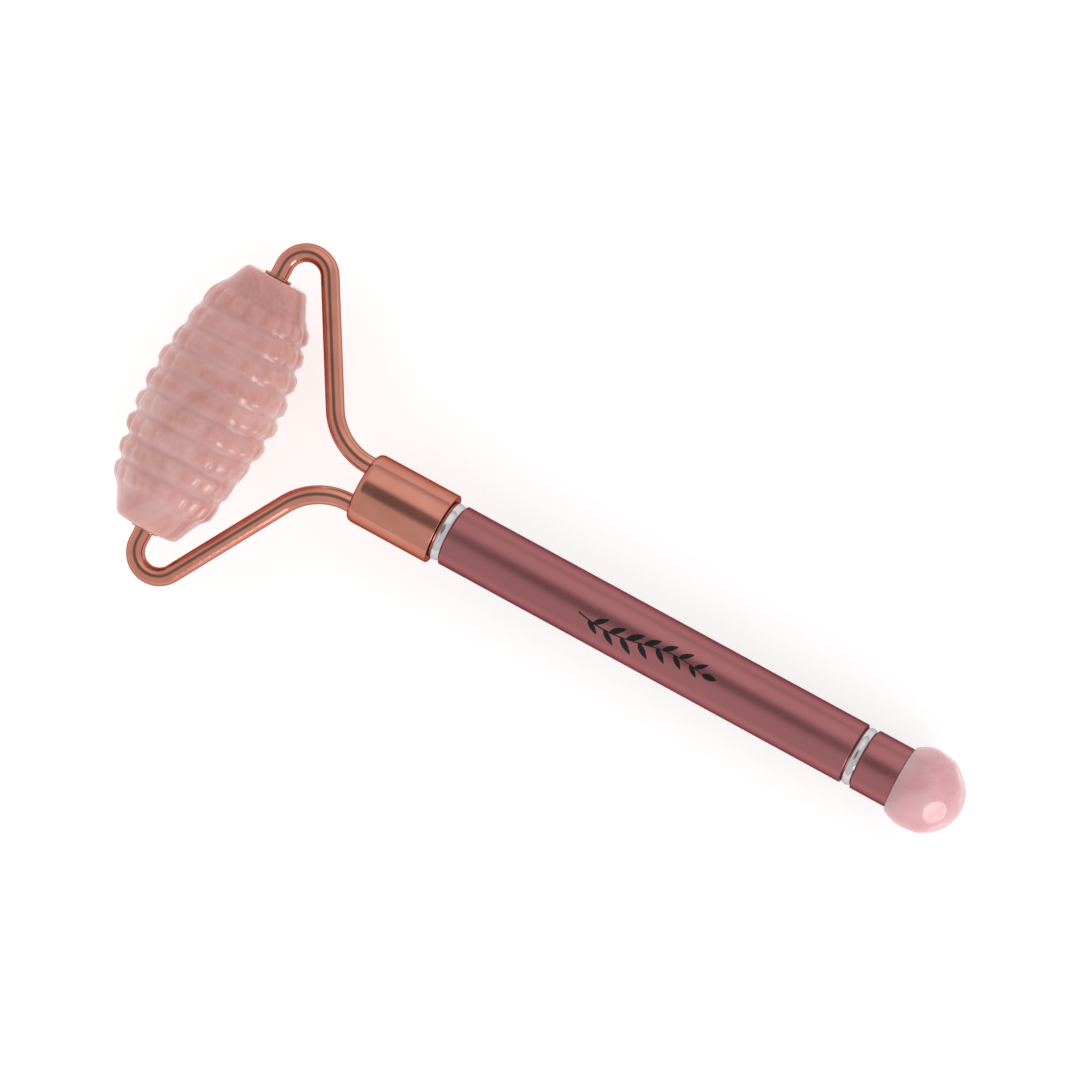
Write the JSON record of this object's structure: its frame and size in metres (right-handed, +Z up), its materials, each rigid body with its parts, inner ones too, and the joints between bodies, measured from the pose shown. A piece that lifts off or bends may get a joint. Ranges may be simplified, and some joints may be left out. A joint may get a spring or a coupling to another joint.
{
  "type": "face roller",
  "caption": "Hand face roller: a ridged rose quartz barrel spins in a bent wire fork on a slim metal handle with a small quartz knob at the far end.",
  "frame": {"origin": "on the table, under the middle of the object's box, as it lies on its barrel and its knob", "axes": "+X along the handle from the barrel to the knob, +Y along the barrel's axle, +Z up"},
  "size_m": [0.1458, 0.0598, 0.0223],
  "materials": {
    "rose_quartz": "polished",
    "rose_gold": "polished",
    "mauve_anodised": "satin",
    "bright_chrome": "polished",
    "brass": "satin",
    "steel": "satin"
  },
  "bodies": {
    "handle": {"fork_arm_left": "rose_gold", "fork_arm_right": "rose_gold", "collar_shell": "rose_gold", "collar_core": "brass", "head_stud": "steel", "head_ring": "bright_chrome", "handle_tube": "mauve_anodised", "head_plug": "brass", "tail_plug": "brass", "tail_stud": "steel", "tail_ring": "bright_chrome", "tail_sleeve": "mauve_anodised", "sleeve_core": "brass", "knob_pin": "steel", "knob_stone": "rose_quartz"},
    "roller": {"roller_stone": "rose_quartz", "stone_bush_left": "rose_gold", "stone_bush_right": "rose_gold"}
  },
  "joints": [
    {"name": "roller_spin", "type": "hinge", "parent": "handle", "child": "roller", "pos_m": [-0.0617, 0, 0.01117], "axis": [0, 1, 0], "continuous": true}
  ]
}
